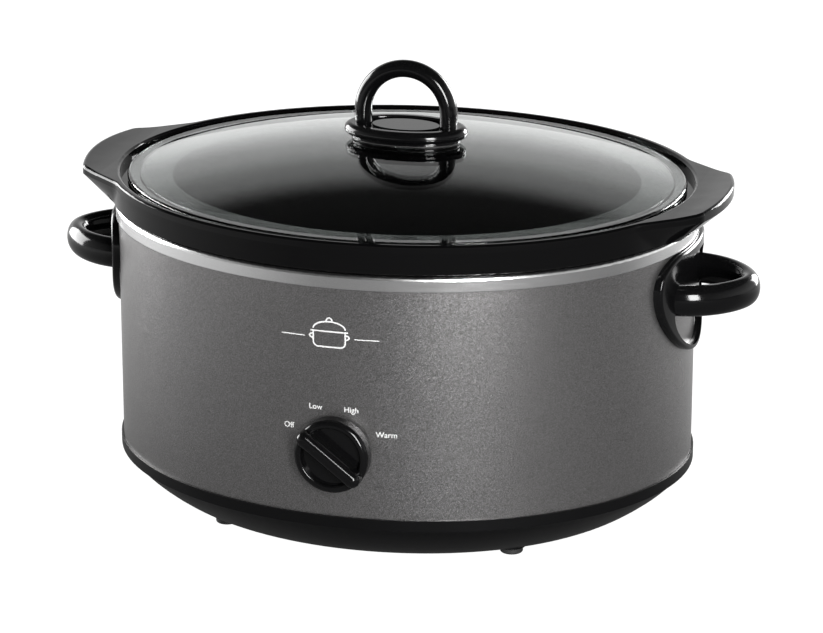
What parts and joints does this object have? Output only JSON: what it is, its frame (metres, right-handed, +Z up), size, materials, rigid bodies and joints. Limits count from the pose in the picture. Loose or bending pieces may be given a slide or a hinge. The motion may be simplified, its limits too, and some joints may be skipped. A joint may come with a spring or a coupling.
{
  "type": "slow cooker",
  "caption": "Oval countertop slow cooker: painted shell with side handles and a rotary knob, lift-out glazed crock with lugs, and a domed glass lid with an arched handle.",
  "frame": {"origin": "centre of the oval body on the surface that the feet stand on", "axes": "+X along the long axis, through the right-hand handle seen from the front; -Y towards the front, where the knob is; +Z up"},
  "size_m": [0.432, 0.3306, 0.271],
  "materials": {
    "shell_paint": "charcoal paint with fine metallic flake, satin gloss",
    "well_metal": "bright satin sheet",
    "base_plastic": "black moulded, semi-gloss",
    "crock_glaze": "black glossy glaze on stoneware",
    "lid_glass": "clear tempered glass with a polished edge",
    "handle_plastic": "black glossy phenolic",
    "knob_plastic": "black glossy phenolic",
    "seal_rubber": "black silicone",
    "foot_rubber": "black rubber, matte",
    "band_metal": "plated steel strip",
    "fastener_steel": "zinc-plated steel",
    "terminal_plastic": "natural heat-resistant moulding",
    "gland_plastic": "black nylon",
    "brass_parts": "plain brass blades",
    "insulation_felt": "white glass-fibre felt",
    "wire_sleeve": "white silicone-insulated wire"
  },
  "bodies": {
    "base": {"base_pan": "base_plastic", "cord_gland": "gland_plastic", "draw_nut": "fastener_steel", "draw_stud": "fastener_steel", "draw_washer": "fastener_steel", "foot_front_left": "foot_rubber", "foot_front_right": "foot_rubber", "foot_rear_left": "foot_rubber", "foot_rear_right": "foot_rubber", "fuse_clip": "fastener_steel", "gland_nut": "gland_plastic", "handle_backing_left": "fastener_steel", "handle_backing_right": "fastener_steel", "handle_left": "handle_plastic", "handle_right": "handle_plastic", "handle_screws_left": "fastener_steel", "handle_screws_right": "fastener_steel", "heat_shield": "well_metal", "heater_band": "band_metal", "heater_clamp": "fastener_steel", "heater_clamp_screw": "fastener_steel", "heating_well": "well_metal", "insulation_left": "insulation_felt", "insulation_right": "insulation_felt", "outer_shell": "shell_paint", "spacer_lower": "fastener_steel", "spacer_upper": "fastener_steel", "switch_cover": "terminal_plastic", "switch_housing": "terminal_plastic", "switch_nut": "fastener_steel", "switch_terminals": "brass_parts", "terminal_block": "terminal_plastic", "terminal_screws": "fastener_steel", "thermal_fuse": "band_metal", "wire_high": "wire_sleeve", "wire_line_in": "wire_sleeve", "wire_line_out": "wire_sleeve", "wire_low": "wire_sleeve", "wire_neutral": "wire_sleeve"},
    "crock": {"crock": "crock_glaze"},
    "lid": {"lid_glass": "lid_glass", "lid_handle": "handle_plastic", "lid_seal": "seal_rubber", "lid_washer": "seal_rubber", "lid_screw": "fastener_steel"},
    "knob": {"knob": "knob_plastic", "knob_clip": "fastener_steel", "switch_shaft": "fastener_steel", "switch_rotor": "terminal_plastic"}
  },
  "joints": [
    {"name": "crock_lift", "type": "slide", "parent": "base", "child": "crock", "axis": [0, 0, 1], "range_m": [0, 0.16]},
    {"name": "lid_lift", "type": "slide", "parent": "crock", "child": "lid", "axis": [0, 0, 1], "range_m": [0, 0.1]},
    {"name": "knob_turn", "type": "hinge", "parent": "base", "child": "knob", "pos_m": [0, -0.149, 0.0768], "axis": [0, 1, 0], "range_deg": [0, 104.6]}
  ]
}
